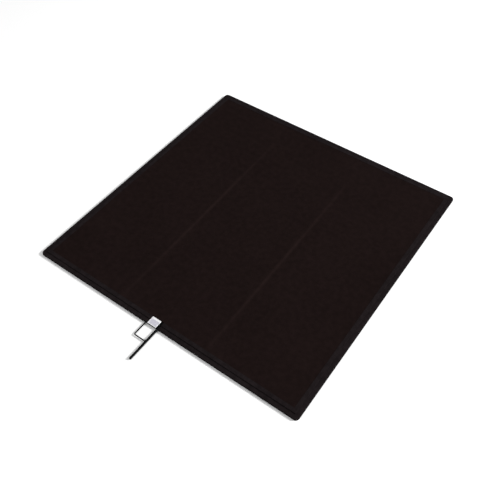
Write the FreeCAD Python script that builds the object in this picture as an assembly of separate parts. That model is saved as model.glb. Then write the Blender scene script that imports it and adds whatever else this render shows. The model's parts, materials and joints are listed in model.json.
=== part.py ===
import FreeCAD, Part
import math
import os

# A 48 inch cloth light flag: a square steel tube frame with a mounting pin, a cover cloth sewn round
# the frame, and a second cloth, the flap, hinged along the back edge and closed by hook and loop tape.
# Millimetres. The origin is on the pin's axis, in the middle of the pin's free length. +Y runs from
# the pin into the panel, +X along the front edge, and +Z out of the face that carries the flap.

# Frame
PANEL_WIDTH = 1219.2        # over the frame tube, along the front edge
PANEL_LENGTH = 1219.2       # over the frame tube, away from the pin
TUBE_SIDE = 9.525           # square tube
TUBE_WALL = 1.2
TUBE_EDGE_RADIUS = 1.5      # rounding of the tube's own long edges
CORNER_RADIUS = 14.0        # outer radius of the frame's bent corners

# Mounting pin, brace wire, plates and welds
PIN_DIAMETER = 9.525
PIN_OUTSIDE = 146.0         # from the frame's outer face to the pin's free end
PIN_INSIDE = 33.0           # from the frame's outer face to the pin's inner end
PIN_CHAMFER = 0.8
WIRE_DIAMETER = 4.76
WIRE_OFFSET = 55.5          # from the pin's axis to the wire's long leg
WIRE_REACH = 62.0           # from the frame's outer face to the wire's cross leg
WIRE_BEND_RADIUS = 5.0      # on the wire's centre line
COPE_DEPTH = 1.5            # how far a coped end reaches round the pin
WELD_LEG = 1.4
NECK_DEPTH = 0.2            # the pin is ground under size where the wire is welded to it
PLATE_TO_WIRE = 5.0         # gap between the name plate and the weld at the wire's foot
PLATE_LENGTH = 33.0         # name plate, from the frame's outer face inward
PLATE_THICKNESS = 1.0
PLATE_LIP = 7.0             # name plate's front lip, down the frame's outer face
GUSSET_THICKNESS = 3.0

# Cloth and tapes
CLOTH = 0.8
CLOTH_GAP = 0.1             # between the tube and the sleeve round it
SEAM_INSET = 16.0           # from the frame's outer face to the sleeve's seam
SEAM_ALLOWANCE = 6.0        # sleeve cloth turned under, past the seam
HEM_WIDTH = 32.0            # from the frame's outer face to the hem's inner edge
NOTCH_MARGIN = 0.4          # hem cut back past the welds at the pin and the wire
NOTCH_BEHIND_PLATE = 1.0    # hem cut back past the name plate
TAPE_WIDTH = 12.7
LOOP_THICKNESS = 0.8
HOOK_THICKNESS = 0.6
BINDING_THICKNESS = 0.6
FLAP_INSET = 16.6           # from the frame's outer face to the flap's edges
FLAP_CLEARANCE = 0.3        # between the flap's tapes and the cover's
HINGE_GAP = 0.5             # between the hinge line and the flap's cloth
TAPE_END_GAP = 4.0          # between the hinge line and the side tapes' ends
SMALLEST_RADIUS = 1.0

# Places worked out from the sizes above
PIN_RADIUS = PIN_DIAMETER / 2
WIRE_RADIUS = WIRE_DIAMETER / 2
TUBE_TOP = TUBE_SIDE / 2
SLEEVE_INNER = TUBE_TOP + CLOTH_GAP
SLEEVE_TOP = SLEEVE_INNER + CLOTH
NECK_HALF = WIRE_RADIUS + WELD_LEG
FRONT = (WIRE_REACH + NECK_HALF + PIN_OUTSIDE) / 2  # y of the frame's front face
HINGE_Y = FRONT + PANEL_LENGTH - HEM_WIDTH
LOOP_TOP = SLEEVE_TOP + LOOP_THICKNESS
HOOK_BOTTOM = LOOP_TOP + FLAP_CLEARANCE
FLAP_BOTTOM = HOOK_BOTTOM + HOOK_THICKNESS
FLAP_TOP = FLAP_BOTTOM + CLOTH                      # the hinge line's height
NOTCH_LEFT = -WIRE_OFFSET - NECK_HALF - NOTCH_MARGIN
NOTCH_RIGHT = PIN_RADIUS + WELD_LEG + NOTCH_MARGIN
PLATE_LEFT = -WIRE_OFFSET + NECK_HALF + PLATE_TO_WIRE
PLATE_RIGHT = -NOTCH_RIGHT
NOTCH_END = FRONT + PLATE_LENGTH + NOTCH_BEHIND_PLATE
TAPE_INSET = (FLAP_INSET + HEM_WIDTH - TAPE_WIDTH) / 2
FAR = PANEL_WIDTH + PANEL_LENGTH                    # longer than anything here

X, Y, Z = FreeCAD.Vector(1, 0, 0), FreeCAD.Vector(0, 1, 0), FreeCAD.Vector(0, 0, 1)


def at(x, y, z):
    return FreeCAD.Vector(x, y, z)


def box(x0, x1, y0, y1, z0, z1):
    return Part.makeBox(x1 - x0, y1 - y0, z1 - z0, at(x0, y0, z0))


def rounded_rectangle(x0, x1, y0, y1, radius, z):
    """A closed wire of four straight edges and four quarter circles."""
    r = max(radius, SMALLEST_RADIUS)
    s = r * math.sqrt(0.5)
    edges = []
    for cx, cy, sx, sy in ((x1 - r, y0 + r, 1, -1), (x1 - r, y1 - r, 1, 1),
                           (x0 + r, y1 - r, -1, 1), (x0 + r, y0 + r, -1, -1)):
        ends = [at(cx, cy + sy * r, z), at(cx + sx * r, cy, z)]
        if sx == sy:
            ends.reverse()
        edges.append((ends[0], at(cx + sx * s, cy + sy * s, z), ends[1]))
    shapes = []
    for corner, following in zip(edges, edges[1:] + edges[:1]):
        shapes.append(Part.Arc(*corner).toShape())
        shapes.append(Part.LineSegment(corner[2], following[0]).toShape())
    return Part.Wire(shapes)


def outline(inset, z):
    """The frame's outline moved inward by inset, with its corners still concentric."""
    half, far = PANEL_WIDTH / 2 - inset, FRONT + PANEL_LENGTH - inset
    return rounded_rectangle(-half, half, FRONT + inset, far, CORNER_RADIUS - inset, z)


def panel(inset, z0, z1):
    """A plate over the frame's outline, moved inward by inset."""
    return Part.Face(outline(inset, z0)).extrude(at(0, 0, z1 - z0))


def frustum(inset0, z0, inset1, z1):
    """The solid between two outlines at two heights."""
    return Part.makeLoft([outline(inset0, z0), outline(inset1, z1)], True, True)


def ring(outer, inner, z0, z1):
    """A flat border between two insets."""
    return panel(outer, z0, z1).cut(panel(inner, z0, z1))


def notch():
    return box(NOTCH_LEFT, NOTCH_RIGHT, FRONT - FAR, NOTCH_END, -FAR, FAR)


def mitred_side(side):
    """A prism that holds one side of a border, cut at 45 degrees at both corners."""
    half, middle = PANEL_WIDTH / 2, FRONT + PANEL_LENGTH / 2
    reach = min(PANEL_WIDTH, PANEL_LENGTH) / 3
    along = {"front": 1, "back": 1, "left": 0, "right": 0}[side]
    sign = -1 if side in ("front", "left") else 1
    if along:
        outer, length = PANEL_LENGTH / 2, half
    else:
        outer, length = half, PANEL_LENGTH / 2
    corners = [(outer + reach, length + reach), (outer + reach, -length - reach),
               (outer - reach, -length + reach), (outer - reach, length - reach)]
    points = []
    for away, sideways in corners:
        x, y = (sideways, sign * away) if along else (sign * away, sideways)
        points.append(at(x, y + middle, -reach))
    return Part.Face(Part.makePolygon(points + points[:1])).extrude(at(0, 0, 2 * reach))


def border_pieces(border, sides):
    """Cut a border into its mitred sides; the notch cuts the front side in two."""
    pieces = {}
    for side in sides:
        piece = border.common(mitred_side(side))
        if side == "front":
            halves = sorted(piece.cut(notch()).Solids, key=lambda solid: solid.CenterOfMass.x)
            pieces["front_left"], pieces["front_right"] = halves
        else:
            pieces[side] = piece
    return pieces


def tube_profile(x, z):
    """The square tube's section in the XZ plane, centred on x and z."""
    faces = []
    for side, radius in ((TUBE_SIDE, TUBE_EDGE_RADIUS),
                         (TUBE_SIDE - 2 * TUBE_WALL, TUBE_EDGE_RADIUS - TUBE_WALL / 2)):
        wire = rounded_rectangle(-side / 2, side / 2, -side / 2, side / 2, radius, 0)
        faces.append(Part.Face(wire))
    face = faces[0].cut(faces[1]).Faces[0]
    face.rotate(at(0, 0, 0), X, 90)
    face.translate(at(x, 0, z))
    return face


def rail(length):
    """A straight rail along +Y from the origin."""
    return tube_profile(0, 0).extrude(at(0, length, 0))


def frame_rails():
    """Straight lengths between the bent corners; the front one is coped round the pin."""
    half, inner = PANEL_WIDTH / 2, TUBE_SIDE / 2
    front_run = half - CORNER_RADIUS - PIN_RADIUS + COPE_DEPTH
    pieces = {}
    for side, sign in (("left", -1), ("right", 1)):
        straight = rail(PANEL_LENGTH - 2 * CORNER_RADIUS)
        straight.translate(at(sign * (half - inner), FRONT + CORNER_RADIUS, 0))
        pieces["rail_" + side] = straight
        front = rail(front_run)
        front.rotate(at(0, 0, 0), Z, sign * 90)
        front.translate(at(sign * (half - CORNER_RADIUS), FRONT + inner, 0))
        pieces["rail_front_" + side] = front.cut(pin_cylinder(PIN_RADIUS))
    back = rail(PANEL_WIDTH - 2 * CORNER_RADIUS)
    back.rotate(at(0, 0, 0), Z, -90)
    back.translate(at(-half + CORNER_RADIUS, FRONT + PANEL_LENGTH - inner, 0))
    pieces["rail_back"] = back
    return pieces


def frame_corners():
    """Four quarter bends of the same tube."""
    half, pieces = PANEL_WIDTH / 2, {}
    near, far = FRONT + CORNER_RADIUS, FRONT + PANEL_LENGTH - CORNER_RADIUS
    places = {"corner_front_right": (1, near, -90), "corner_back_right": (1, far, 0),
              "corner_back_left": (-1, far, 90), "corner_front_left": (-1, near, 180)}
    for name, (sign, y, turn) in places.items():
        bend = tube_profile(CORNER_RADIUS - TUBE_SIDE / 2, 0).revolve(at(0, 0, 0), Z, 90)
        bend.rotate(at(0, 0, 0), Z, turn)
        bend.translate(at(sign * (half - CORNER_RADIUS), y, 0))
        pieces[name] = bend
    return pieces


def pin_cylinder(radius):
    length = PIN_OUTSIDE + PIN_INSIDE
    return Part.makeCylinder(radius, length, at(0, FRONT - PIN_OUTSIDE, 0), Y)


def mounting_pin():
    """The pin, with a shallow neck where the brace wire is welded to it."""
    pin = pin_cylinder(PIN_RADIUS)
    ends = [edge for edge in pin.Edges if isinstance(edge.Curve, Part.Circle)]
    start = at(0, FRONT - WIRE_REACH - NECK_HALF, 0)
    collar = Part.makeCylinder(2 * PIN_RADIUS, 2 * NECK_HALF, start, Y)
    core = Part.makeCylinder(PIN_RADIUS - NECK_DEPTH, 2 * NECK_HALF, start, Y)
    return pin.makeChamfer(PIN_CHAMFER, ends).cut(collar.cut(core))


def brace_wire(pin):
    """An L of round wire from the frame's front face to the pin's flank."""
    bend, cross_y = WIRE_BEND_RADIUS, FRONT - WIRE_REACH
    s = bend * (1 - math.sqrt(0.5))
    foot, knee_in = at(-WIRE_OFFSET, FRONT, 0), at(-WIRE_OFFSET, cross_y + bend, 0)
    knee_out = at(-WIRE_OFFSET + bend, cross_y, 0)
    tip = at(-PIN_RADIUS + COPE_DEPTH, cross_y, 0)
    knee = Part.Arc(knee_in, at(-WIRE_OFFSET + s, cross_y + s, 0), knee_out).toShape()
    path = Part.Wire([Part.LineSegment(foot, knee_in).toShape(), knee,
                      Part.LineSegment(knee_out, tip).toShape()])
    section = Part.Wire([Part.Circle(foot, Y, WIRE_RADIUS).toShape()])
    return path.makePipeShell([section], True, False).cut(pin)


def weld_collar(radius, foot, direction):
    """A conical fillet round a rod, standing on foot."""
    return Part.makeCone(radius + WELD_LEG, radius, WELD_LEG, foot, direction)


def weld_beads(pin, wire):
    """Fillets where the pin and the wire leave the frame and where the wire meets the pin."""
    flank = at(-PIN_RADIUS, FRONT - WIRE_REACH, 0)
    at_pin = weld_collar(PIN_RADIUS, at(0, FRONT, 0), -Y)
    at_wire = weld_collar(WIRE_RADIUS, at(-WIRE_OFFSET, FRONT, 0), -Y)
    at_joint = weld_collar(WIRE_RADIUS, flank, -X)
    root = Part.makeCylinder(NECK_HALF, COPE_DEPTH, flank, X)
    at_joint = at_joint.fuse(root).removeSplitter()
    dressed = box(-FAR, FAR, -FAR, FAR, -TUBE_TOP, TUBE_TOP)
    beads = at_pin.fuse([at_wire, at_joint]).common(dressed).cut([pin, wire])
    return Part.makeCompound(beads.Solids)


def gusset_plate():
    """The steel plate that ties the pin's inner end to the front rail, flush with the tube."""
    plate = box(PLATE_LEFT, -PIN_RADIUS + COPE_DEPTH, FRONT + TUBE_SIDE, FRONT + PIN_INSIDE,
                TUBE_TOP - GUSSET_THICKNESS, TUBE_TOP)
    return plate.cut(pin_cylinder(PIN_RADIUS))


def name_plate():
    """The blank silver plate on top of the gusset, folded down over the frame's outer face."""
    front, top = FRONT - PLATE_THICKNESS, TUBE_TOP + PLATE_THICKNESS
    plate = box(PLATE_LEFT, PLATE_RIGHT, front, FRONT + PLATE_LENGTH, top - PLATE_LIP, top)
    plate = plate.cut(box(-FAR, FAR, FRONT, FAR, -FAR, TUBE_TOP))
    fold = [edge for edge in plate.Edges
            if all(abs(v.Y - front) < 1e-6 and abs(v.Z - top) < 1e-6 for v in edge.Vertexes)]
    return plate.makeFillet(PLATE_THICKNESS, fold)


def sleeves():
    """The hem: cloth round the tube, closed by a seam, with a flat flange inward of it."""
    low, high = at(TUBE_SIDE + CLOTH_GAP, -SLEEVE_INNER, 0), at(SEAM_INSET, SLEEVE_INNER, 0)
    slope = high - low
    outward = at(slope.y, -slope.x, 0).normalize() * CLOTH

    def outer_inset(z):
        """Where the sloping cloth's lower face is, at height z."""
        start = low + outward
        return start.x + (z - start.y) * slope.x / slope.y

    seam_bottom = SLEEVE_INNER - CLOTH
    outside = panel(-CLOTH_GAP - CLOTH, -SLEEVE_TOP, SLEEVE_TOP)
    outside = outside.cut(frustum(outer_inset(-SLEEVE_TOP), -SLEEVE_TOP,
                                  outer_inset(seam_bottom), seam_bottom))
    outside = outside.cut(panel(SEAM_INSET + SEAM_ALLOWANCE, seam_bottom, SLEEVE_INNER))
    outside = outside.cut(panel(HEM_WIDTH, SLEEVE_INNER, SLEEVE_TOP))
    inside = panel(-CLOTH_GAP, -SLEEVE_INNER, SLEEVE_INNER)
    inside = inside.cut(frustum(low.x, -SLEEVE_INNER, high.x, SLEEVE_INNER))
    pieces = border_pieces(outside.cut(inside), ("front", "left", "right", "back"))
    return {"sleeve_" + side: piece for side, piece in pieces.items()}


def cover_cloth():
    """The fixed cloth, sewn under the hem's flange."""
    edge = SEAM_INSET + SEAM_ALLOWANCE + CLOTH
    return panel(edge, SLEEVE_INNER - CLOTH, SLEEVE_INNER).cut(notch())


def ahead_of_hinge(shape, gap):
    """The part of a shape in front of the hinge line, less a gap."""
    return shape.common(box(-FAR, FAR, FRONT - FAR, HINGE_Y - gap, -FAR, FAR))


def tapes(name, outer, inner, z0, z1, gap):
    """Flat strips along the front and both sides, named name_SIDE."""
    border = ahead_of_hinge(ring(outer, inner, z0, z1), gap)
    pieces = border_pieces(border, ("front", "left", "right"))
    return {name + "_" + side: piece for side, piece in pieces.items()}


def hinge_strips():
    """The flap's root, sewn to the back hem, and the binding over it."""
    border = ring(FLAP_INSET, HEM_WIDTH, SLEEVE_TOP, SLEEVE_TOP + CLOTH)
    behind = box(-FAR, FAR, HINGE_Y, HINGE_Y + FAR, -FAR, FAR)
    root = border.common(behind)
    binding = ring(FLAP_INSET, HEM_WIDTH, SLEEVE_TOP + CLOTH,
                   SLEEVE_TOP + CLOTH + BINDING_THICKNESS).common(behind)
    return {"flap_root_strip": root, "hinge_binding": binding}


def flap_cloth():
    """The second cloth, closed over the cover."""
    return ahead_of_hinge(panel(FLAP_INSET, FLAP_BOTTOM, FLAP_TOP), HINGE_GAP).cut(notch())


def build():
    pin = mounting_pin()
    wire = brace_wire(pin)
    tape_end = TAPE_INSET + TAPE_WIDTH
    parts = {"mounting_pin": pin, "brace_wire": wire, "weld_beads": weld_beads(pin, wire),
             "gusset_plate": gusset_plate(), "name_plate": name_plate(),
             "cover_cloth": cover_cloth(), "flap_cloth": flap_cloth()}
    parts.update(frame_rails())
    parts.update(frame_corners())
    parts.update(sleeves())
    parts.update(hinge_strips())
    parts.update(tapes("loop_tape", TAPE_INSET, tape_end, SLEEVE_TOP, LOOP_TOP, TAPE_END_GAP))
    parts.update(tapes("hook_tape", TAPE_INSET, tape_end, HOOK_BOTTOM, FLAP_BOTTOM, TAPE_END_GAP))
    parts.update(tapes("binding", FLAP_INSET, HEM_WIDTH, FLAP_TOP,
                       FLAP_TOP + BINDING_THICKNESS, HINGE_GAP))
    return parts


os.makedirs("parts", exist_ok=True)
for name, shape in build().items():
    shape.exportStep(os.path.join("parts", name + ".step"))
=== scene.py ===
"""The finish of a 48 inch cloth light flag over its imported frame: cloths, hems, tapes, seams, plate, paint.

Metres. The origin is on the pin's axis, +Y runs into the panel, +X along the front edge, and +Z out of the
face that carries the flap. The flap turns about the back edge, and hook and loop tape holds its other sides.
"""
import json
import math

import bpy
import numpy as np
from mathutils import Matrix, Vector


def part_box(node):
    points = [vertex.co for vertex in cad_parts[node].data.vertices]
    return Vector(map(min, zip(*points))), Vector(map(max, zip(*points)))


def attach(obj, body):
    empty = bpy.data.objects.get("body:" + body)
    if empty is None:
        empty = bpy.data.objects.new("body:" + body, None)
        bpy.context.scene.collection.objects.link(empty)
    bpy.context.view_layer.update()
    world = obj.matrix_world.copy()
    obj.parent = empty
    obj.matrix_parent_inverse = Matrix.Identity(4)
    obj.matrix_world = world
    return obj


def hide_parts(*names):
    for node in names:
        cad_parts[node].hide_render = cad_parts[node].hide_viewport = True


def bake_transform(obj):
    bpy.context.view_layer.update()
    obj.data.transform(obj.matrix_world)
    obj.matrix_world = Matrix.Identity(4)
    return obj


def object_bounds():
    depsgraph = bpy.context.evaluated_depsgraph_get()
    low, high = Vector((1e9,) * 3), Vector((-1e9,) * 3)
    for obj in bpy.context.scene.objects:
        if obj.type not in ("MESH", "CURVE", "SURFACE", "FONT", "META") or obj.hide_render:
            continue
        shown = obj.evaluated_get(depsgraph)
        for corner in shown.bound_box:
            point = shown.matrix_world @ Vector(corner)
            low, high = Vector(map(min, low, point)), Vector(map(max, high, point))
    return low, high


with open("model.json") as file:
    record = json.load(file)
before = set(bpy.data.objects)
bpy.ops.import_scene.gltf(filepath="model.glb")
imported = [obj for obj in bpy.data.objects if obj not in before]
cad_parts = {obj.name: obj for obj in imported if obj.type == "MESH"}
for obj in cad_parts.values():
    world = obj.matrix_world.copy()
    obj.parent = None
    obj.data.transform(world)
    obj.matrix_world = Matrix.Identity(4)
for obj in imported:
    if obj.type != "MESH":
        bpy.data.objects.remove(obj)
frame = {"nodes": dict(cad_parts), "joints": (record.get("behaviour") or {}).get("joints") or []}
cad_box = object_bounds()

MM = 0.001
COVER, FLAP = "framed_cover", "flap"


# Places, read from the frame

def low(node, axis):
    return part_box(node)[0]["xyz".index(axis)]


def high(node, axis):
    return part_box(node)[1]["xyz".index(axis)]


HALF = high("rail_right", "x")
FRONT = low("rail_front_left", "y")
BACK = high("rail_back", "y")
MIDDLE = (FRONT + BACK) / 2
CORNER = HALF - high("rail_back", "x")
TUBE_SIDE = high("rail_back", "y") - low("rail_back", "y")
TUBE_TOP = high("rail_back", "z")
CLOTH = high("flap_cloth", "z") - low("flap_cloth", "z")
SLEEVE_TOP = high("sleeve_back", "z")
FLAP_INSET = HALF - high("flap_cloth", "x")
TAPE_OUTER = HALF - high("loop_tape_right", "x")
TAPE_INNER = HALF - low("loop_tape_right", "x")
WELD_LEFT = high("sleeve_front_left", "x")      # the hems' outer walls stop short of the welds here
WELD_RIGHT = low("sleeve_front_right", "x")
NOTCH_LEFT = low("name_plate", "x") - 0.5 * MM
NOTCH_RIGHT = high("mounting_pin", "x") + 0.6 * MM
NOTCH_END = high("name_plate", "y") + 0.4 * MM
HINGE_Y, HINGE_Z = frame["joints"][0]["pos_m"][1:]
HEM = BACK - HINGE_Y        # from the frame's outer face to the hem's inner edge
TAPE_END = high("loop_tape_left", "y")

COVER_LEVEL = high("cover_cloth", "z") - CLOTH / 2
ROOT_LEVEL = high("flap_root_strip", "z") - CLOTH / 2
FLAP_PRESSED = 0.5 * MM     # the hooks are pressed this far into the loops
FLAP_LEVEL = high("flap_cloth", "z") - CLOTH / 2 - FLAP_PRESSED
LOOP_BASE = low("loop_tape_left", "z")
LOOP_TOP = high("loop_tape_left", "z")
HOOK_BASE = high("hook_tape_left", "z") - FLAP_PRESSED
HOOK_TOP = low("hook_tape_left", "z") - FLAP_PRESSED
BINDING = high("binding_left", "z") - low("binding_left", "z")
ROOT_BINDING_LEVEL = high("hinge_binding", "z") - BINDING / 2

# Sizes that only the finish needs
TUBE_EDGE = 1.5 * MM        # rounding of the tube's long edges
SMALLEST = 1.0 * MM         # tightest corner in plan
SEAM = 16.0 * MM            # from the frame's outer face to the hem's seam
SEAM_DEPTH = 0.2 * MM
ALLOWANCE = 22.0 * MM       # from the frame's outer face to the end of the seam allowance
COVER_INSET = ALLOWANCE + 0.5 * MM          # from the frame's outer face to the cover cloth's edge
FLAP_CLOTH_INSET = FLAP_INSET + 0.7 * MM    # and to the flap cloth's, inside its binding
SLEEVE_CLOTH = 0.76 * MM
SAG = 3.0 * MM              # in the middle of the stretched cloths
SETTLE = 55 * MM            # how far from its tapes the flap comes down onto the cover
HINGE_DROP = 3.6 * MM       # over which the flap comes down to its root at the hinge
FOLDS = ((-209 * MM, -0.009), (195 * MM, -0.008))    # where each crosses the middle, and its slant
FOLD_WIDTH = 7 * MM
FOLD_HEIGHT = 0.8 * MM
FOLD_MIDDLE = MIDDLE - 0.09     # where the fold lines are strongest
FOLD_REACH = 0.60               # from there to where they have faded out
STITCH_PITCH = 4.6 * MM
STITCH_LENGTH = 3.5 * MM
THREAD = 0.42 * MM

SIDES = {
    "front": ((0, FRONT), (1, 0), (0, 1), HALF),
    "right": ((HALF, MIDDLE), (0, 1), (-1, 0), (BACK - FRONT) / 2),
    "back": ((0, BACK), (-1, 0), (0, -1), HALF),
    "left": ((-HALF, MIDDLE), (0, -1), (1, 0), (BACK - FRONT) / 2),
}


# Materials

class Finish:
    """One procedural material. Each method adds a node and gives back its output."""

    def __init__(self, name, **sockets):
        self.material = bpy.data.materials.new(name)
        self.material.use_nodes = True
        self.tree = self.material.node_tree
        self.shader = self.tree.nodes["Principled BSDF"]
        for socket, value in sockets.items():
            self.shader.inputs[socket.replace("_", " ")].default_value = value

    def node(self, kind, inputs=(), **settings):
        made = self.tree.nodes.new("ShaderNode" + kind)
        for name, value in settings.items():
            setattr(made, name, value)
        for socket, value in dict(inputs).items():
            self.feed(made.inputs[socket], value)
        return made

    def feed(self, socket, value):
        if isinstance(value, bpy.types.NodeSocket):
            self.tree.links.new(value, socket)
        else:
            socket.default_value = value

    def set(self, socket, value):
        self.feed(self.shader.inputs[socket], value)

    def math(self, operation, *values):
        return self.node("Math", enumerate(values), operation=operation).outputs[0]

    def span(self, value, from_low, from_high, to_low=0.0, to_high=1.0):
        inputs = {"Value": value, "From Min": from_low, "From Max": from_high,
                  "To Min": to_low, "To Max": to_high}
        return self.node("MapRange", inputs).outputs[0]

    def mix(self, factor, first, second):
        made = self.node("Mix", data_type="RGBA")
        self.feed(made.inputs[0], factor)
        self.feed(made.inputs[6], first)
        self.feed(made.inputs[7], second)
        return made.outputs[2]

    def noise(self, vector, scale, detail=2.0, roughness=0.5):
        inputs = {"Vector": vector, "Scale": scale, "Detail": detail, "Roughness": roughness}
        return self.node("TexNoise", inputs).outputs["Fac"]

    def stretched(self, vector, scale):
        return self.node("VectorMath", {0: vector, 1: scale}, operation="MULTIPLY").outputs[0]

    def parts(self, vector):
        return self.node("SeparateXYZ", {0: vector}).outputs

    def bump(self, height, distance, strength=1.0):
        inputs = {"Height": height, "Distance": distance, "Strength": strength}
        self.set("Normal", self.node("Bump", inputs).outputs[0])


def threads(finish, vector, pitch_along, pitch_across):
    """Two waves, one for each set of threads, from -1 to 1."""
    scale = (2 * math.pi / pitch_along, 2 * math.pi / pitch_across, 0)
    along, across, _ = finish.parts(finish.stretched(vector, scale))
    return along, across


def plain_weave(finish, vector, pitch):
    along, across = threads(finish, vector, pitch, pitch)
    wave = finish.math("MULTIPLY", finish.math("SINE", along), finish.math("SINE", across))
    return finish.span(wave, -1, 1)


def twill(finish, vector, pitch):
    along, across = threads(finish, vector, pitch, pitch * 0.8)
    ridge = finish.math("SINE", finish.math("ADD", along, across))
    rib = finish.math("MULTIPLY", finish.math("SINE", along), 0.4)
    return finish.span(finish.math("ADD", ridge, rib), -1.4, 1.4)


def ribbed(finish, vector, pitch):
    along, across = threads(finish, vector, pitch, pitch * 2.6)
    rib = finish.math("ABSOLUTE", finish.math("SINE", finish.math("MULTIPLY", along, 0.5)))
    cross = finish.math("MULTIPLY", finish.math("SINE", across), 0.3)
    return finish.span(finish.math("ADD", rib, cross), -0.3, 1.3)


def pile(finish, vector, pitch):
    inputs = {"Vector": vector, "Scale": 1 / pitch}
    cells = finish.node("TexVoronoi", inputs, feature="F1").outputs["Distance"]
    return finish.span(cells, 0.1, 0.7, 1.0, 0.0)


def fold_lines(finish, place):
    """1 along the flap's fold lines, where the nap is pressed flat and the colour gets a painted sheen, and 0
    away from them.
    """
    across, along, _ = finish.parts(place)
    from_middle = finish.math("DIVIDE", finish.math("SUBTRACT", along, FOLD_MIDDLE), FOLD_REACH)
    fade = finish.span(finish.math("MULTIPLY", from_middle, from_middle), 0, 1, 1, 0)
    patchy = finish.span(finish.noise(place, 28, 3), 0.3, 0.7, 0.5, 1.0)
    lines = []
    for fold, slant in FOLDS:
        bent = finish.math("MULTIPLY_ADD", finish.math("SUBTRACT", along, MIDDLE), -slant, across)
        offset = finish.math("DIVIDE", finish.math("SUBTRACT", bent, fold), FOLD_WIDTH)
        square = finish.math("MULTIPLY", offset, offset)
        lines.append(finish.math("EXPONENT", finish.math("MULTIPLY", square, -1.0)))
    both = finish.math("ADD", *lines)
    return finish.math("MULTIPLY", both, finish.math("MULTIPLY", fade, patchy))


def fabric(name, dark, light, weave, pitch, depth, roughness, gloss, folded=False):
    """Woven cloth: threads at their real pitch, slow and fine colour variation, lint, and a slight fuzz; when
    folded, the colour is also painted lighter along the fold lines, partly pressed nap and partly painted
    sheen.
    """
    finish = Finish(name, Specular_IOR_Level=gloss, Sheen_Weight=gloss * 0.2, Sheen_Roughness=0.6)
    place = finish.node("Attribute", attribute_name="thread").outputs["Vector"]
    height = weave(finish, place, pitch)
    slow = finish.noise(place, 4.5, 3)
    patches = finish.noise(place, 45, 4, 0.6)
    fibres = finish.noise(finish.stretched(place, (1, 3, 1)), 900, 2)
    # The weave's height is a fifth of the tone: thread tops lighter and the hollows between threads darker, a
    # painted shade of the weave.
    shares = ((finish.span(slow, 0.3, 0.7), 0.25), (finish.span(patches, 0.36, 0.64), 0.45),
              (height, 0.20), (finish.span(fibres, 0.3, 0.7), 0.10))
    tone = 0.0
    for part, share in shares:
        tone = finish.math("ADD", finish.math("MULTIPLY", part, share), tone)
    colour = finish.mix(tone, (*dark, 1), (*light, 1))
    lint = finish.span(finish.noise(finish.stretched(place, (1, 2.2, 1)), 420, 1), 0.80, 0.86)
    colour = finish.mix(finish.math("MULTIPLY", lint, 0.5), colour, LINT)
    if folded:
        # Along the fold lines the colour is painted lighter: partly the pressed nap, partly a painted sheen
        # on the creases.
        pressed_nap_and_sheen = fold_lines(finish, place)
        brighter = tuple(1.9 * part for part in light)
        colour = finish.mix(finish.math("MULTIPLY", pressed_nap_and_sheen, 0.42), colour, (*brighter, 1))
    finish.set("Base Color", colour)
    finish.set("Roughness", finish.span(patches, 0.3, 0.7, roughness - 0.05, roughness + 0.05))
    soft = finish.math("ADD", height, finish.math("MULTIPLY", fibres, 0.5))
    finish.bump(soft, depth)
    return finish.material


def painted_steel(name):
    """Black coating with a fine orange peel, dull rubbed patches and a few bare specks."""
    finish = Finish(name, Specular_IOR_Level=0.035)
    place = finish.node("TexCoord").outputs["Object"]
    peel = finish.noise(place, 1500, 2)
    handling = finish.noise(place, 60, 4, 0.6)
    rubbed = finish.span(finish.noise(finish.stretched(place, (1, 6, 1)), 140, 4, 0.65), 0.60, 0.74)
    bare = finish.span(finish.noise(finish.stretched(place, (2, 1, 2)), 420, 5, 0.7), 0.70, 0.76)
    black = finish.mix(handling, (0.0010, 0.0010, 0.0011, 1), (0.0028, 0.0028, 0.0030, 1))
    black = finish.mix(finish.math("MULTIPLY", rubbed, 0.35), black, (0.010, 0.010, 0.011, 1))
    bare_metal = (0.22, 0.22, 0.225, 1)
    finish.set("Base Color", finish.mix(finish.math("MULTIPLY", bare, 0.6), black, bare_metal))
    finish.set("Metallic", finish.math("MULTIPLY", bare, 0.6))
    finish.set("Roughness", finish.span(handling, 0.3, 0.7, 0.42, 0.58))
    finish.bump(finish.math("ADD", peel, finish.math("MULTIPLY", rubbed, -0.6)), 0.06 * MM)
    return finish.material


def bright_plate(name):
    """Satin aluminium, brushed along the panel's front edge, with dull smudges."""
    finish = Finish(name, Metallic=0.55)
    place = finish.node("TexCoord").outputs["Object"]
    brushed = finish.noise(finish.stretched(place, (40, 2400, 2400)), 1, 3, 0.6)
    smudge = finish.noise(place, 160, 3)
    tone = finish.math("MULTIPLY", finish.math("ADD", brushed, smudge), 0.5)
    dull, bright = (0.80, 0.80, 0.82, 1), (0.97, 0.97, 0.97, 1)
    finish.set("Base Color", finish.mix(finish.span(tone, 0.35, 0.65), dull, bright))
    finish.set("Roughness", finish.span(smudge, 0.3, 0.7, 0.34, 0.5))
    finish.bump(brushed, 0.02 * MM)
    return finish.material


def plate_label(name):
    """A blank printed field, pale lilac grey, mottled and scuffed."""
    finish = Finish(name, Specular_IOR_Level=0.3)
    place = finish.node("TexCoord").outputs["Object"]
    mottle = finish.noise(place, 190, 3, 0.6)
    grain = finish.noise(place, 900, 3, 0.7)
    tone = finish.math("ADD", finish.math("MULTIPLY", mottle, 0.7), finish.math("MULTIPLY", grain, 0.3))
    dark, pale = (0.32, 0.31, 0.36, 1), (0.47, 0.46, 0.51, 1)
    finish.set("Base Color", finish.mix(finish.span(tone, 0.36, 0.64), dark, pale))
    finish.set("Roughness", finish.span(grain, 0.3, 0.7, 0.5, 0.7))
    finish.bump(grain, 0.02 * MM)
    return finish.material


LINT = (0.10, 0.095, 0.09, 1)
BLACK = (0.0053, 0.0031, 0.0029)
BLACK_LIGHT = (0.0096, 0.0056, 0.0053)
HEM_BLACK = (0.0040, 0.0029, 0.0031)
HEM_LIGHT = (0.0128, 0.0096, 0.0102)
TAPE_BLACK = (0.0060, 0.0058, 0.0062)
TAPE_LIGHT = (0.0130, 0.0125, 0.0135)

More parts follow.
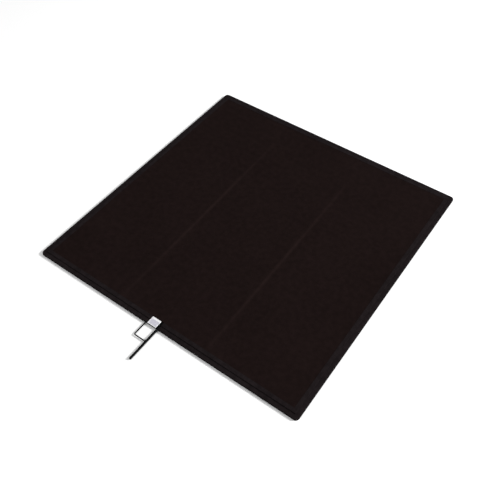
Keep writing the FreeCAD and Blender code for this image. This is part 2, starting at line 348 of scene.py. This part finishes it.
black_cloth = fabric("black_cloth_weave", BLACK, BLACK_LIGHT, plain_weave, 1.0 * MM, 0.10 * MM, 0.92, 0.008)
flap_weave = fabric("black_cloth_folded", BLACK, BLACK_LIGHT, plain_weave, 1.0 * MM, 0.10 * MM, 0.92, 0.008,
                    folded=True)
hem_weave = fabric("hem_cloth_twill", HEM_BLACK, HEM_LIGHT, twill, 1.3 * MM, 0.12 * MM, 0.88, 0.012)
tape_weave = fabric("binding_tape_ribbed", HEM_BLACK, HEM_LIGHT, ribbed, 1.5 * MM, 0.16 * MM, 0.8, 0.012)
hook_weave = fabric("hook_tape_base", TAPE_BLACK, TAPE_LIGHT, plain_weave, 0.9 * MM, 0.10 * MM, 0.6, 0.10)
loop_pile = fabric("loop_tape_pile", TAPE_BLACK, TAPE_LIGHT, pile, 1.1 * MM, 0.5 * MM, 0.85, 0.05)
thread_twist = fabric("thread", HEM_BLACK, HEM_LIGHT, ribbed, 0.5 * MM, 0.05 * MM, 0.6, 0.04)
steel = painted_steel("black_coat")
plate_metal = bright_plate("satin_plate")
label_print = plate_label("label_field")


# Meshes

def ripple(along, across, pitch):
    """A slow irregular wave, about -1 to 1, the same every run."""
    p, q = 2 * math.pi * along / pitch, 2 * math.pi * across / pitch
    wave = np.sin(p + 0.7 * np.sin(0.31 * p + 1.1)) + 0.6 * np.sin(0.53 * p + 1.7 * q + 2.0)
    return (wave + 0.4 * np.sin(1.71 * p - 0.9 * q + 0.5)) / 2


def smooth_step(value):
    t = np.clip(value, 0, 1)
    return t * t * (3 - 2 * t)


def add_mesh(name, points, faces, thread, material, sharp=50):
    mesh = bpy.data.meshes.new(name)
    mesh.from_pydata(points.tolist(), [], faces)
    mesh.shade_smooth()
    mesh.set_sharp_from_angle(angle=math.radians(sharp))
    if thread is not None:
        places = mesh.attributes.new("thread", "FLOAT_VECTOR", "POINT")
        places.data.foreach_set("vector", thread.astype(np.float32).ravel())
    mesh.materials.append(material)
    piece = bpy.data.objects.new(name, mesh)
    bpy.context.scene.collection.objects.link(piece)
    return piece


def shell(name, grid, thickness, material, thread, keep=None):
    """A sheet as thick as the cloth. grid is its middle surface, point by point; thread is where each of
    those points lies on the flat cloth; keep says which of the cells between them are there."""
    rows, columns = grid.shape[:2]
    normal = np.cross(np.gradient(grid, axis=0), np.gradient(grid, axis=1))
    normal /= np.maximum(np.linalg.norm(normal, axis=2, keepdims=True), 1e-15)
    offset = (normal * thickness / 2).reshape(-1, 3)
    middle = grid.reshape(-1, 3)
    points = np.concatenate([middle + offset, middle - offset])
    flat = np.zeros((rows, columns, 3))
    flat[..., :2] = thread
    flat = flat.reshape(-1, 3)
    number = np.arange(rows * columns).reshape(rows, columns)
    cells = np.stack([number[:-1, :-1], number[1:, :-1], number[1:, 1:], number[:-1, 1:]], axis=-1)
    cells = cells.reshape(-1, 4) if keep is None else cells[keep]
    count = rows * columns
    first, second = cells.ravel(), np.roll(cells, -1, axis=1).ravel()
    rim = ~np.isin(first * count + second, second * count + first)
    first, second = first[rim], second[rim]
    sides = np.stack([second, first, first + count, second + count], axis=1)
    faces = np.concatenate([cells, cells[:, ::-1] + count, sides])
    used, faces = np.unique(faces, return_inverse=True)
    faces = faces.reshape(-1, 4)
    return add_mesh(name, points[used], faces.tolist(), np.concatenate([flat, flat])[used], material)


def spaced(start, end, step):
    """Numbers from start to end, about step apart."""
    return np.linspace(start, end, max(1, round(abs(end - start) / step)) + 1)


def line_of(side, inset, step, start=None, end=None, tail=0):
    """Places along one side of the frame's outline, moved inward by inset, from the middle of one rounded
    corner to the middle of the next. start and end, from the side's middle, cut it short of a corner, and
    tail adds one more place past that cut."""
    origin, along, inward, half = SIDES[side]
    radius = max(CORNER - inset, SMALLEST)
    reach = half - inset - radius
    count = len(spaced(-half if start is None else start, half if end is None else end, step))
    first = -reach if start is None else start
    last = reach if end is None else end
    distance, depth = list(np.linspace(first, last, count)), [inset] * count
    for step_angle in np.linspace(0, math.pi / 4, 7)[1:]:
        out = reach + radius * math.sin(step_angle)
        inner = inset + radius * (1 - math.cos(step_angle))
        if start is None:
            distance.insert(0, -out)
            depth.insert(0, inner)
        if end is None:
            distance.append(out)
            depth.append(inner)
    if tail and start is not None:
        distance.insert(0, start - tail)
        depth.insert(0, inset)
    if tail and end is not None:
        distance.append(end + tail)
        depth.append(inset)
    distance, depth = np.array(distance), np.array(depth)
    x = origin[0] + distance * along[0] + depth * inward[0]
    y = origin[1] + distance * along[1] + depth * inward[1]
    return x, y, distance


def sweep(name, side, profile, thickness, material, step, start=None, end=None, height=None, flutter=None,
          tail=None):
    """A strip of cloth or tape along one side. profile lists (inset, height) from its outer to its inner
    edge; height adds the height of what it lies on, flutter moves its points a little for wrinkles, and
    tail says how far each line of the profile goes on past its cut end."""
    lines = []
    for inset, level in profile:
        more = tail(inset, level) if tail else 0
        x, y, distance = line_of(side, inset, step, start, end, more)
        z = np.full_like(x, level) if height is None else height(x, y) + level
        lines.append(np.stack([x, y, z, distance], axis=1))
    grid = np.stack(lines, axis=1)
    girth = np.concatenate([[0], np.cumsum(np.hypot(*np.diff(np.array(profile), axis=0).T))])
    thread = np.stack([grid[..., 3], np.broadcast_to(girth, grid.shape[:2])], axis=-1)
    grid = grid[..., :3]
    if flutter is not None:
        grid = grid + flutter(thread[..., 0], np.array(profile)[:, 0])
    return shell(name, grid, thickness, material, thread)


def round_corners(x, y, inset, corners):
    """Moves the points outside a corner's arc onto it. corners says which: (-1, -1) is front left."""
    radius = max(CORNER - inset, SMALLEST)
    for side_x, side_y in corners:
        centre_x = side_x * (HALF - inset - radius)
        centre_y = (FRONT + inset + radius) if side_y < 0 else (BACK - inset - radius)
        dx, dy = (x - centre_x) * side_x, (y - centre_y) * side_y
        length = np.hypot(dx, dy)
        outside = (dx > 0) & (dy > 0) & (length > radius)
        scale = np.where(outside, radius / np.maximum(length, 1e-12), 1)
        x = np.where(outside, centre_x + dx * scale * side_x, x)
        y = np.where(outside, centre_y + dy * scale * side_y, y)
    return x, y


def stitch_row(points, up=1.0):
    """Short stitches along a line of points, each a slim thread that dips into the cloth at its ends."""
    gaps = np.linalg.norm(np.diff(points, axis=0), axis=1)
    along = np.concatenate([[0], np.cumsum(gaps)])
    count = int(along[-1] / STITCH_PITCH)
    starts = (np.arange(count) + 0.5) * along[-1] / count - STITCH_LENGTH / 2
    shares = np.array([0, 0.12, 0.5, 0.88, 1])
    at = (starts[:, None] + shares * STITCH_LENGTH).ravel()
    centre = np.stack([np.interp(at, along, points[:, k]) for k in range(3)], axis=1).reshape(count, 5, 3)
    centre[..., 2] += up * THREAD * np.array([-0.6, 0.15, 0.35, 0.15, -0.6])
    forward = centre[:, -1] - centre[:, 0]
    forward /= np.linalg.norm(forward, axis=1, keepdims=True)
    sideways = np.cross(forward, (0, 0, 1))
    width = THREAD * np.array([0.25, 0.9, 1.0, 0.9, 0.25])[None, :, None] * sideways[:, None, :]
    tall = THREAD * np.array([0.2, 0.7, 0.8, 0.7, 0.2])[None, :, None] * np.array([0, 0, 1.0])
    rings = np.stack([centre + width, centre + tall, centre - width, centre - tall], axis=2)
    return rings.reshape(-1, 3)


def stitching(name, rows, body):
    """All the stitches of several rows as one piece."""
    points = np.concatenate([stitch_row(row, up) for row, up in rows])
    ring = np.arange(4)
    template = [[0, 1, 2, 3][::-1], list(16 + ring)]
    for level in range(4):
        for k in range(4):
            a, b = 4 * level + k, 4 * level + (k + 1) % 4
            template.append([a, b, b + 4, a + 4])
    starts = np.arange(len(points) // 20)[:, None, None] * 20
    faces = (np.array(template)[None] + starts).reshape(-1, 4)
    piece = add_mesh(name, points, faces.tolist(), points.copy(), thread_twist, 180)
    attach(piece, body)
    return piece


# How the two cloths lie

def hang(x, y):
    """How far the cloths hang below their edges: a slight sag with slow waves in it."""
    half = HALF - HEM
    inside = np.clip(1 - (x / half) ** 2, 0, 1) * np.clip(1 - ((y - MIDDLE) / half) ** 2, 0, 1)
    waves = 0.45 * MM * ripple(x + 0.3 * y, y, 0.42) + 0.25 * MM * ripple(y - 0.2 * x, x, 0.19)
    return SAG * inside ** 0.8 + waves * np.clip(4 * inside, 0, 1)


def folds(x, y):
    """Height of the two fold lines, left by the flap's being folded in three for storage."""
    fade = np.clip(1 - ((y - FOLD_MIDDLE) / FOLD_REACH) ** 2, 0, 1)
    lines = [np.exp(-((x - fold - slant * (y - MIDDLE)) / FOLD_WIDTH) ** 2) for fold, slant in FOLDS]
    return FOLD_HEIGHT * sum(lines) * fade


def flap_level(x, y):
    """Height of the flap cloth's middle: flat on its tapes, down onto the cover, and down to its root."""
    from_tapes = np.clip(np.minimum(HALF - np.abs(x), y - FRONT) - HEM, 0, None)
    on_cover = COVER_LEVEL + CLOTH + 0.2 * MM
    raised = on_cover + (FLAP_LEVEL - on_cover) * np.exp(-from_tapes / SETTLE)
    free = raised - hang(x, y) + folds(x, y) * np.clip(from_tapes / (6 * MM), 0, 1)
    drop = smooth_step((HINGE_Y - y) / HINGE_DROP)
    return ROOT_LEVEL + (free - ROOT_LEVEL) * drop


def cover_level(x, y):
    return COVER_LEVEL - hang(x, y)


def sheet_lines(lowest, highest, step, exact, fine):
    """Grid lines from lowest to highest: every step, at the exact places, and close near the fine ones."""
    lines = set(np.round(spaced(lowest, highest, step), 6))
    lines |= {round(place, 6) for place in exact}
    for place, width, gap in fine:
        near = spaced(place - width, place + width, gap)
        lines = {line for line in lines if abs(line - place) > width} | set(np.round(near, 6))
    lines = sorted(line for line in lines if lowest - 1e-6 <= line <= highest + 1e-6)
    kept = [lines[0]]
    for line in lines[1:]:
        wanted = any(abs(line - place) < 1e-6 for place in exact) or line == lines[-1]
        if line - kept[-1] > 0.5 * MM:
            kept.append(line)
        elif wanted:
            kept[-1] = line
    return np.array(kept)


def cloth_sheet(name, xs, ys, level, inset, corners, material):
    """A whole cloth with rounded corners and the notch for the pin and the plate cut out of its front."""
    grid_x, grid_y = np.meshgrid(xs, ys, indexing="ij")
    x, y = round_corners(grid_x, grid_y, inset, corners)
    grid = np.stack([x, y, level(x, y)], axis=-1)
    centre_x, centre_y = (xs[:-1] + xs[1:]) / 2, (ys[:-1] + ys[1:]) / 2
    in_notch = (centre_x > NOTCH_LEFT) & (centre_x < NOTCH_RIGHT)
    keep = ~(in_notch[:, None] & (centre_y < NOTCH_END)[None, :])
    return shell(name, grid, CLOTH, material, np.stack([x, y], axis=-1), keep)


def make_cover():
    inset = COVER_INSET
    edge = HALF - inset
    notch = (NOTCH_LEFT, NOTCH_RIGHT)
    xs = sheet_lines(-edge, edge, 12 * MM, notch, [(-edge, 10 * MM, 2 * MM), (edge, 10 * MM, 2 * MM)])
    ys = sheet_lines(FRONT + inset, BACK - inset, 12 * MM, [NOTCH_END],
                     [(FRONT + inset, 22 * MM, 2 * MM), (BACK - inset, 10 * MM, 2 * MM)])
    corners = [(i, j) for i in (-1, 1) for j in (-1, 1)]
    piece = cloth_sheet("cover_sheet", xs, ys, cover_level, inset, corners, black_cloth)
    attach(piece, COVER)
    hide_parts("cover_cloth")
    return piece


def make_flap():
    inset = FLAP_CLOTH_INSET
    edge = HALF - inset
    near_folds = [(fold, 20 * MM, 1.8 * MM) for fold, _ in FOLDS]
    ends = [(-edge, 20 * MM, 1.6 * MM), (edge, 20 * MM, 1.6 * MM)]
    xs = sheet_lines(-edge, edge, 12 * MM, (NOTCH_LEFT, NOTCH_RIGHT), near_folds + ends)
    ys = sheet_lines(FRONT + inset, BACK - inset, 12 * MM, [NOTCH_END],
                     [(FRONT + inset, 26 * MM, 1.6 * MM), (HINGE_Y - 2 * MM, 6 * MM, 0.4 * MM)])
    corners = [(i, j) for i in (-1, 1) for j in (-1, 1)]
    piece = cloth_sheet("flap_sheet", xs, ys, flap_level, inset, corners, flap_weave)
    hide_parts("flap_cloth", "flap_root_strip")
    return piece


def bend_at_hinge(piece):
    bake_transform(piece)


# Hems

def arc(centre, radius, start, end, steps):
    turns = np.radians(np.linspace(start, end, steps))
    return [(centre[0] + radius * math.cos(t), centre[1] + radius * math.sin(t)) for t in turns]


def hem_profile():
    """Section of a hem: from the end of its seam allowance, out under the tube and round it, then in over the
    tube and the seam to the hem's inner edge."""
    skin = SLEEVE_TOP - CLOTH / 2
    straight = TUBE_TOP - TUBE_EDGE
    bend = skin - straight
    under = COVER_LEVEL
    points = [(ALLOWANCE, under), (19 * MM, under), (17.2 * MM, under - SEAM_DEPTH / 2)]
    points += [(SEAM, under - SEAM_DEPTH)]
    points += [(14.8 * MM, 3.1 * MM), (12.4 * MM, 0.1 * MM)]
    points += arc((TUBE_SIDE - TUBE_EDGE, -straight), bend, -20, -90, 5)
    points += [(6 * MM, -skin), (3.5 * MM, -skin)]
    points += arc((TUBE_EDGE, -straight), bend, 270, 180, 6)
    points += [(TUBE_EDGE - bend, 0)]
    points += arc((TUBE_EDGE, straight), bend, 180, 90, 6)
    points += [(4 * MM, skin), (7 * MM, skin), (9.2 * MM, skin - 0.02 * MM), (11.5 * MM, skin - 0.10 * MM)]
    points += [(13.6 * MM, skin - 0.16 * MM), (15 * MM, skin - SEAM_DEPTH), (SEAM, skin - SEAM_DEPTH)]
    points += [(17 * MM, skin - SEAM_DEPTH / 2)]
    points += [(inset, skin) for inset in (18.6 * MM, 22 * MM, 27 * MM, HEM)]
    return points


def pucker(distance, inset):
    """Small gathers where the hem is sewn, stronger at the corners and gone on the tube and the tapes."""
    towards_corner = np.clip(np.abs(distance) / HALF, 0, 1) ** 6
    between = np.exp(-((inset - 13.5 * MM) / (2.6 * MM)) ** 2)
    strength = (0.26 + 0.28 * towards_corner) * MM * between
    wave = ripple(distance, inset[None, :] + 0 * distance, 0.021)
    offset = np.zeros((*distance.shape, 3))
    offset[..., 2] = strength * wave
    return offset


def past_weld(inset, level, reach):
    """Behind the frame's outer face the hem's cut end goes on past the weld, up to the plate or the pin."""
    return reach if level > TUBE_TOP and inset > TUBE_EDGE else 0.2 * MM


def make_hems():
    parts = {
        "hem_front_left": ("front", None, WELD_LEFT, "sleeve_front_left"),
        "hem_front_right": ("front", WELD_RIGHT, None, "sleeve_front_right"),
        "hem_right": ("right", None, None, "sleeve_right"),
        "hem_back": ("back", None, None, "sleeve_back"),
        "hem_left": ("left", None, None, "sleeve_left"),
    }
    profile = hem_profile()
    hems = []
    for name, (side, start, end, node) in parts.items():
        reach = NOTCH_LEFT - WELD_LEFT if start is None else WELD_RIGHT - NOTCH_RIGHT
        piece = sweep(name, side, profile, SLEEVE_CLOTH, hem_weave, 5 * MM, start, end, flutter=pucker,
                      tail=lambda inset, level, reach=reach: past_weld(inset, level, reach))
        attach(piece, COVER)
        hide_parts(node)
        hems.append(piece)
    return hems


# Tapes

TAPE_RUNS = {
    "front_left": ("front", None, NOTCH_LEFT),
    "front_right": ("front", NOTCH_RIGHT, None),
    "right": ("right", None, None),
    "left": ("left", None, None),
}


def cut_at_hinge(side, start, end, y):
    """A side tape's two ends: the corner at the front, and y at the hinge."""
    if side == "right":
        return start, y - MIDDLE
    if side == "left":
        return MIDDLE - y, end
    return start, end


def make_bindings():
    """Ribbed tape over the flap's edge, turned under it by a little more than the cloth's thickness."""
    top, half = CLOTH / 2 + BINDING / 2, BINDING / 2
    fold = FLAP_INSET + half
    profile = [(fold + 1.2 * MM, -top), (fold + 0.5 * MM, -top), (fold, -0.35 * MM), (fold, 0.35 * MM)]
    profile += [(fold + 0.5 * MM, top), (FLAP_INSET + 2 * MM, top), (FLAP_INSET + 5 * MM, top + 0.05 * MM)]
    profile += [(FLAP_INSET + 10 * MM, top + 0.05 * MM), (HEM - 1.2 * MM, top), (HEM, top - 0.06 * MM)]
    made = []
    for place, (side, start, end) in TAPE_RUNS.items():
        start, end = cut_at_hinge(side, start, end, HINGE_Y - 0.5 * MM)
        piece = sweep("binding_tape_" + place, side, profile, BINDING, tape_weave, 4 * MM, start, end,
                      flap_level)
        if side == "front":
            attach(piece, FLAP)
        else:
            bend_at_hinge(piece)
        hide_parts("binding_" + place)
        made.append(piece)
    return made


def make_hinge_binding():
    """The tape that sews the flap's root down on the back hem."""
    inset = FLAP_INSET
    edge = HALF - inset
    xs = sheet_lines(-edge, edge, 4 * MM, (), [(-edge, 12 * MM, 1.5 * MM), (edge, 12 * MM, 1.5 * MM)])
    ys = np.concatenate([[HINGE_Y], HINGE_Y + np.array([0.8, 2, 5, 8, 11, 14]) * MM, [BACK - inset]])
    grid_x, grid_y = np.meshgrid(xs, ys, indexing="ij")
    x, y = round_corners(grid_x, grid_y, inset, [(-1, 1), (1, 1)])
    z = np.full_like(x, ROOT_BINDING_LEVEL) + 0.04 * MM * ripple(x, y, 0.03)
    piece = shell("hinge_tape", np.stack([x, y, z], axis=-1), BINDING, tape_weave, np.stack([x, y], axis=-1))
    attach(piece, COVER)
    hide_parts("hinge_binding")
    return piece


def make_loop_tapes():
    """Soft tape on the hem: a flat selvedge each side and a raised uneven pile between."""
    base, pile_top = LOOP_BASE + 0.2 * MM, LOOP_TOP - 0.2 * MM
    insets = spaced(TAPE_OUTER, TAPE_INNER, 0.9 * MM)
    edge = np.minimum(insets - TAPE_OUTER, TAPE_INNER - insets)
    levels = base + (pile_top - base) * smooth_step((edge - 0.6 * MM) / (0.9 * MM))
    profile = list(zip(insets, levels))

    def tufts(distance, inset):
        raised = smooth_step((np.minimum(inset - TAPE_OUTER, TAPE_INNER - inset) - 0.6 * MM) / (0.9 * MM))
        fuzz = ripple(distance, inset[None, :] + 0 * distance, 2.3 * MM)
        offset = np.zeros((*distance.shape, 3))
        offset[..., 2] = 0.12 * MM * fuzz * raised
        return offset

    made = []
    for place, (side, start, end) in TAPE_RUNS.items():
        start, end = cut_at_hinge(side, start, end, TAPE_END)
        piece = sweep("loop_" + place, side, profile, 0.35 * MM, loop_pile, 1.4 * MM, start, end,
                      flutter=tufts)
        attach(piece, COVER)
        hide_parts("loop_tape_" + place)
        made.append(piece)
    return made


def make_hook_tapes():
    """Stiff tape under the flap, with rows of small bent hooks pointing down."""
    base = HOOK_BASE - FLAP_LEVEL - 0.15 * MM
    profile = [(inset, base) for inset in spaced(TAPE_OUTER, TAPE_INNER, 3 * MM)]
    made = []
    for place, (side, start, end) in TAPE_RUNS.items():
        start, end = cut_at_hinge(side, start, end, TAPE_END)
        piece = sweep("hook_" + place, side, profile, 0.3 * MM, hook_weave, 5 * MM, start, end, flap_level)
        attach(piece, FLAP)
        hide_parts("hook_tape_" + place)
        made.append(piece)
        hooks = make_hooks("hooks_" + place, side, start, end)
        hooks.parent = piece
        made.append(hooks)
    return made


def make_hooks(name, side, start, end):
    """Three-sided hooks in rows, each bent over at its tip."""
    points = []
    gap, size = 1.9 * MM, 0.22 * MM
    height = HOOK_BASE - HOOK_TOP - 0.3 * MM
    origin, along, inward, _ = SIDES[side]
    to_side = np.array([*along, 0.0])
    for row, inset in enumerate(np.arange(TAPE_OUTER + 1.4 * MM, TAPE_INNER - 1.0 * MM, gap)):
        x, y, distance = line_of(side, inset, 1 * MM, start, end)
        count = int((distance[-1] - distance[0]) / gap)
        at = distance[0] + (np.arange(count) + 0.25 + 0.5 * (row % 2)) * gap
        foot = np.stack([np.interp(at, distance, x), np.interp(at, distance, y), 0 * at], axis=1)
        foot[:, 2] = flap_level(foot[:, 0], foot[:, 1]) + HOOK_BASE - FLAP_LEVEL - 0.3 * MM
        for share, lean, width in ((0, 0, 1.0), (0.6, 0.0, 0.8), (1.0, 0.5, 0.7), (0.8, 1.1, 0.3)):
            centre = foot - np.array([0, 0, share * height]) + to_side * lean * height
            for turn in (0, 2 * math.pi / 3, 4 * math.pi / 3):
                reach = size * width
                spoke = np.array([math.cos(turn) * reach, math.sin(turn) * reach, 0])
                points.append(centre + spoke)
    joined = []
    for start_row in range(0, len(points), 12):
        joined.append(np.stack(points[start_row:start_row + 12], axis=1).reshape(-1, 3))
    points = np.concatenate(joined)
    template = []
    for level in range(3):
        for k in range(3):
            a, b = 3 * level + k, 3 * level + (k + 1) % 3
            template.append([a, a + 3, b + 3, b])
    starts = np.arange(len(points) // 12)[:, None, None] * 12
    faces = (np.array(template)[None] + starts).reshape(-1, 4).tolist()
    faces += [[12 * k + 9, 12 * k + 11, 12 * k + 10] for k in range(len(points) // 12)]
    return add_mesh(name, points, faces, points.copy(), hook_weave, 180)


# Seams

def seam(side, inset, level, start=None, end=None, height=None, up=1.0):
    x, y, _ = line_of(side, inset, 3 * MM, start, end)
    z = np.full_like(x, level) if height is None else height(x, y) + level
    return np.stack([x, y, z], axis=1), up


def make_seams():
    """Rows of stitches: through the hems, the tapes, the flap's bindings and the flap's root."""
    hem_runs = [("front", None, NOTCH_LEFT), ("front", NOTCH_RIGHT, None), ("right", None, None),
                ("back", None, None), ("left", None, None)]
    rows = []
    for side, start, end in hem_runs:
        rows.append(seam(side, 15.2 * MM, SLEEVE_TOP - SEAM_DEPTH, start, end))
        rows.append(seam(side, HEM - 0.7 * MM, SLEEVE_TOP, start, end))
        rows.append(seam(side, 17.6 * MM, COVER_LEVEL - CLOTH / 2 - 0.1 * MM, start, end, up=-1.0))
        rows.append(seam(side, 20.8 * MM, COVER_LEVEL - CLOTH / 2, start, end, up=-1.0))
    hem_seams = stitching("stitches_hem", rows, COVER)
    on_binding = CLOTH / 2 + BINDING
    rows, flap_rows = [], []
    for side, start, end in TAPE_RUNS.values():
        start, end = cut_at_hinge(side, start, end, TAPE_END - 2 * MM)
        for inset in (TAPE_OUTER + 0.7 * MM, TAPE_INNER - 0.7 * MM):
            rows.append(seam(side, inset, LOOP_BASE + 0.4 * MM, start, end))
            under = HOOK_BASE - FLAP_LEVEL - 0.3 * MM
            flap_rows.append(seam(side, inset, under, start, end, flap_level, -1.0))
        for inset in (FLAP_INSET + 1.3 * MM, HEM - 1.3 * MM):
            flap_rows.append(seam(side, inset, on_binding, start, end, flap_level))
    loop_seams = stitching("stitches_loop_tape", rows, COVER)
    flap_seams = stitching("stitches_flap", flap_rows, FLAP)
    ends = HALF - FLAP_INSET - 2 * MM
    rows = []
    for y in (HINGE_Y + 1.4 * MM, BACK - FLAP_INSET - 1.4 * MM):
        x = spaced(-ends, ends, 3 * MM)
        rows.append((np.stack([x, 0 * x + y, 0 * x + ROOT_BINDING_LEVEL + BINDING / 2], axis=1), 1.0))
    root_seams = stitching("stitches_hinge", rows, COVER)
    return hem_seams, loop_seams, flap_seams, root_seams


# Name plate

def make_plate():
    """Folded plate with a lip down the frame's outer face, the lip painted black as its shade, and a blank
    label on it.
    """
    lowest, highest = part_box("name_plate")
    thickness = 1.0 * MM
    top, face = highest.z - thickness / 2, lowest.y + thickness / 2
    bend = 1.0 * MM
    path = [(y, top) for y in spaced(highest.y, face + bend, 4 * MM)]
    path += arc((face + bend, top - bend), bend, 90, 180, 6)[1:]
    path += [(face, z) for z in spaced(top - bend, lowest.z, 2 * MM)[1:]]
    xs = spaced(lowest.x, highest.x, 3 * MM)
    path = np.array(path)
    grid = np.empty((len(path), len(xs), 3))
    grid[..., 0] = xs[None, :]
    grid[..., 1], grid[..., 2] = path[:, :1], path[:, 1:]
    thread = np.stack([grid[..., 0], grid[..., 1]], axis=-1)
    plate = shell("plate_metal", grid[::-1], thickness, plate_metal, thread[::-1])
    plate.data.materials.append(steel)
    # The lip's faces take the black coat: a dark lip painted in as the shade on the plate's front face.
    for face_of in plate.data.polygons:
        if face_of.center.y < lowest.y + thickness + 0.2 * MM:
            face_of.material_index = 1
    bevel = plate.modifiers.new("bevel", "BEVEL")
    bevel.width, bevel.segments, bevel.limit_method = 0.2 * MM, 2, "ANGLE"
    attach(plate, COVER)
    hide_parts("name_plate")
    left_margin, right_margin, front_margin, back_margin = 3.0 * MM, 1.2 * MM, 3.2 * MM, 8.5 * MM
    label_x = spaced(lowest.x + left_margin, highest.x - right_margin, 3 * MM)
    label_y = spaced(face + front_margin, highest.y - back_margin, 3 * MM)
    grid_x, grid_y = np.meshgrid(label_x, label_y, indexing="ij")
    grid_z = np.full_like(grid_x, highest.z + 0.06 * MM)
    label = shell("plate_label", np.stack([grid_x, grid_y, grid_z], axis=-1), 0.12 * MM, label_print,
                  np.stack([grid_x, grid_y], axis=-1))
    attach(label, COVER)


# Build

cover = make_cover()
flap = make_flap()
hems = make_hems()
bindings = make_bindings()
hinge_tape = make_hinge_binding()
loops = make_loop_tapes()
hooks = make_hook_tapes()
hem_seams, loop_seams, flap_seams, root_seams = make_seams()
make_plate()
bend_at_hinge(flap)

STEEL_NODES = ["mounting_pin", "brace_wire", "weld_beads", "gusset_plate"]
STEEL_NODES += ["rail_" + side for side in ("front_left", "front_right", "left", "right", "back")]
STEEL_NODES += ["corner_" + end for end in ("front_left", "front_right", "back_left", "back_right")]
for node in STEEL_NODES:
    for material_slot in frame["nodes"][node].material_slots:
        material_slot.material = steel


# Floor, light and camera

def make_floor():
    floor = bpy.data.materials.new("floor")
    floor.use_nodes = True
    shader = floor.node_tree.nodes["Principled BSDF"]
    shader.inputs["Base Color"].default_value = (0.82, 0.82, 0.82, 1)
    shader.inputs["Roughness"].default_value = 0.9
    shader.inputs["Specular IOR Level"].default_value = 0.1
    wide, level = 60.0, cad_box[0].z - 0.05 * MM
    corners = ((-wide, -wide), (wide, -wide), (wide, wide), (-wide, wide))
    points = np.array([(x, y, level) for x, y in corners])
    add_mesh("floor", points, [[0, 1, 2, 3]], None, floor)


def add_softbox(name, place, size, energy):
    """A round soft light, aimed at the middle of the panel."""
    light = bpy.data.objects.new(name, bpy.data.lights.new(name, "AREA"))
    light.data.shape = "DISK"
    light.data.size = size
    light.data.energy = energy
    light.location = place
    light.rotation_euler = (Vector((0, MIDDLE, 0)) - light.location).to_track_quat("-Z", "Y").to_euler()
    bpy.context.scene.collection.objects.link(light)


def make_lights():
    world = bpy.data.worlds.new("studio")
    world.use_nodes = True
    world.node_tree.nodes["Background"].inputs[0].default_value = (1, 1, 1, 1)
    world.node_tree.nodes["Background"].inputs[1].default_value = 0.56
    bpy.context.scene.world = world
    add_softbox("key", (7.0, MIDDLE + 4.4, 5.0), 3.3, 1480)
    add_softbox("fill", (-1.0, MIDDLE - 4.6, 3.6), 2.6, 80)


def make_camera():
    camera = bpy.data.objects.new("camera", bpy.data.cameras.new("camera"))
    bpy.context.scene.collection.objects.link(camera)
    camera.location = (1.0052, -0.6330, 1.9748)
    forward = Vector((-0.35509, 0.50505, -0.78666))
    camera.rotation_euler = forward.to_track_quat("-Z", "Y").to_euler()
    camera.data.sensor_width = 36
    camera.data.lens = 45.16
    camera.data.shift_x = -0.0326
    camera.data.shift_y = 0.0004
    camera.data.clip_start, camera.data.clip_end = 0.05, 200
    bpy.context.scene.camera = camera


make_floor()
make_lights()
make_camera()
bpy.context.scene.view_settings.view_transform = "Standard"
